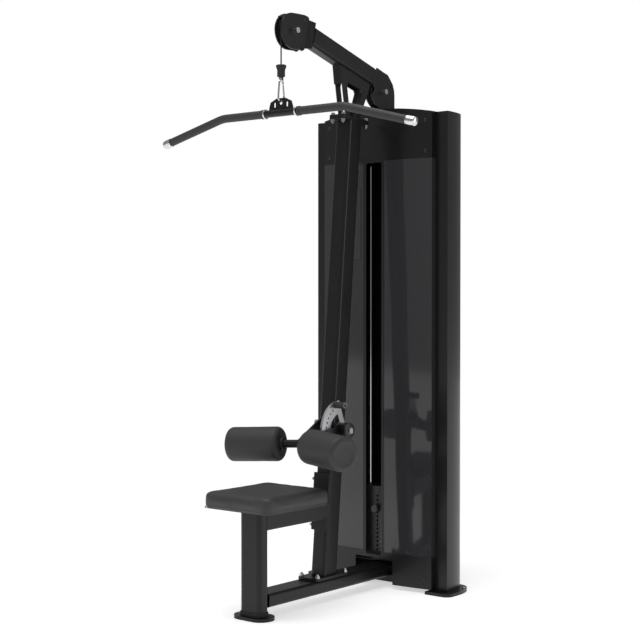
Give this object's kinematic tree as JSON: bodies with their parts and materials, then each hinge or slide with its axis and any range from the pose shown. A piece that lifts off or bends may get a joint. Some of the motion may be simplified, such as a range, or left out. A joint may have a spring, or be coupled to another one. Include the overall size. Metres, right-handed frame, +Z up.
{
  "type": "lat pulldown machine",
  "caption": "Lat pulldown gym machine: seat, thigh rollers, slanted upright with boom and pulleys, long bent bar, and a weight stack in a shrouded tower.",
  "frame": {"origin": "middle of the bounding box, on the floor", "axes": "+Z up; the user sits at -Y facing +Y, towards the weight tower; X = 0 is the plane of symmetry of the frame"},
  "size_m": [1.2276, 1.042, 2.234],
  "materials": {
    "black_steel": "gloss black powder coat",
    "smoked_acrylic": "dark smoked, polished",
    "vinyl_pad": "fine grained black vinyl over foam",
    "black_rubber": "matt black",
    "chrome": "polished",
    "zinc_steel": "bright zinc plate",
    "black_nylon": "satin black",
    "coated_cable": "black nylon coated steel cable",
    "cast_iron": "satin black paint"
  },
  "bodies": {
    "frame": {"acrylic_pane_left": "smoked_acrylic", "acrylic_pane_right": "smoked_acrylic", "base_frame": "black_steel", "boom_bracket": "black_steel", "boom_tube": "black_steel", "cable_front_drop": "coated_cable", "cable_over_pulleys": "coated_cable", "cable_rear_drop": "coated_cable", "foot_pad_left": "black_rubber", "foot_pad_right": "black_rubber", "front_foot_pad": "black_rubber", "front_pulley_axle": "zinc_steel", "front_pulley_housing": "black_steel", "guide_rod_left": "chrome", "guide_rod_right": "chrome", "placard": "black_nylon", "rear_panel": "black_steel", "rear_pulley_axle": "zinc_steel", "rear_pulley_housing": "black_steel", "seat_beam": "black_steel", "seat_cushion": "vinyl_pad", "seat_post": "black_steel", "sector_plate": "zinc_steel", "stack_base_beam": "black_steel", "stack_bumper": "black_rubber", "thigh_pivot_shaft": "zinc_steel", "tower_column_left": "black_steel", "tower_column_right": "black_steel", "tower_front_panel": "black_steel", "tower_lid": "black_steel", "upright": "black_steel", "upright_flange": "black_steel", "weight_plate_05": "cast_iron", "weight_plate_06": "cast_iron", "weight_plate_07": "cast_iron", "weight_plate_08": "cast_iron", "weight_plate_09": "cast_iron", "weight_plate_10": "cast_iron", "weight_plate_11": "cast_iron", "weight_plate_12": "cast_iron", "weight_plate_13": "cast_iron", "weight_plate_14": "cast_iron"},
    "lifted_stack": {"top_plate": "cast_iron", "selector_rod": "chrome", "weight_plate_01": "cast_iron", "weight_plate_02": "cast_iron", "weight_plate_03": "cast_iron", "weight_plate_04": "cast_iron"},
    "selector_pin": {"selector_pin": "black_nylon"},
    "front_pulley": {"front_pulley": "black_nylon"},
    "rear_pulley": {"rear_pulley": "black_nylon"},
    "pull_end": {"cable_stopper": "black_rubber", "snap_hook": "chrome"},
    "snap_gate": {"snap_gate": "chrome"},
    "lat_bar": {"hanger_plate": "black_steel", "lat_bar": "black_rubber"},
    "thigh_arm": {"thigh_arm": "black_steel"},
    "roller_left": {"roller_left": "vinyl_pad"},
    "roller_right": {"roller_right": "vinyl_pad"},
    "pop_pin": {"pop_pin": "chrome"}
  },
  "joints": [
    {"name": "weight_lift", "type": "slide", "parent": "frame", "child": "lifted_stack", "axis": [0, 0, 1], "range_m": [0, 0.9], "deforming": ["cable_rear_drop"]},
    {"name": "bar_pull", "type": "slide", "parent": "frame", "child": "pull_end", "axis": [0, 0, -1], "range_m": [0, 0.9], "deforming": ["cable_front_drop"]},
    {"name": "front_pulley_spin", "type": "hinge", "parent": "frame", "child": "front_pulley", "pos_m": [0, -0.207, 2.165], "axis": [1, 0, 0], "range_deg": [0, 1075]},
    {"name": "rear_pulley_spin", "type": "hinge", "parent": "frame", "child": "rear_pulley", "pos_m": [0, 0.3435, 1.998], "axis": [1, 0, 0], "range_deg": [0, 1075]},
    {"name": "selector_pin_pull", "type": "slide", "parent": "lifted_stack", "child": "selector_pin", "axis": [0, -1, 0], "range_m": [0, 0.09]},
    {"name": "bar_swing", "type": "hinge", "parent": "pull_end", "child": "lat_bar", "pos_m": [0, -0.2555, 1.8976], "axis": [1, 0, 0], "range_deg": [-8, 8]},
    {"name": "gate_open", "type": "hinge", "parent": "pull_end", "child": "snap_gate", "pos_m": [0, -0.2395, 1.9196], "axis": [1, 0, 0], "range_deg": [0, 14], "stiffness_Nm_per_rad": 0.05, "springref_deg": -28.65},
    {"name": "thigh_arm_tilt", "type": "hinge", "parent": "frame", "child": "thigh_arm", "pos_m": [0, 0.046, 0.657], "axis": [-1, 0, 0], "range_deg": [-11.8, 35.4]},
    {"name": "roller_left_spin", "type": "hinge", "parent": "thigh_arm", "child": "roller_left", "pos_m": [-0.1748, -0.202, 0.609], "axis": [-0.9654, -0.2558, -0.0502], "continuous": true},
    {"name": "roller_right_spin", "type": "hinge", "parent": "thigh_arm", "child": "roller_right", "pos_m": [0.1748, -0.202, 0.609], "axis": [0.9654, -0.2558, -0.0502], "continuous": true},
    {"name": "pop_pin_pull", "type": "slide", "parent": "thigh_arm", "child": "pop_pin", "axis": [-1, 0, 0], "range_m": [0, 0.012], "stiffness_N_per_m": 300, "springref_m": -0.02}
  ],
  "couplings": [
    {"joint": "bar_pull", "follows": "weight_lift", "ratio": 1},
    {"joint": "front_pulley_spin", "follows": "weight_lift", "rad_per_m": 20.619},
    {"joint": "rear_pulley_spin", "follows": "weight_lift", "rad_per_m": 20.619}
  ]
}
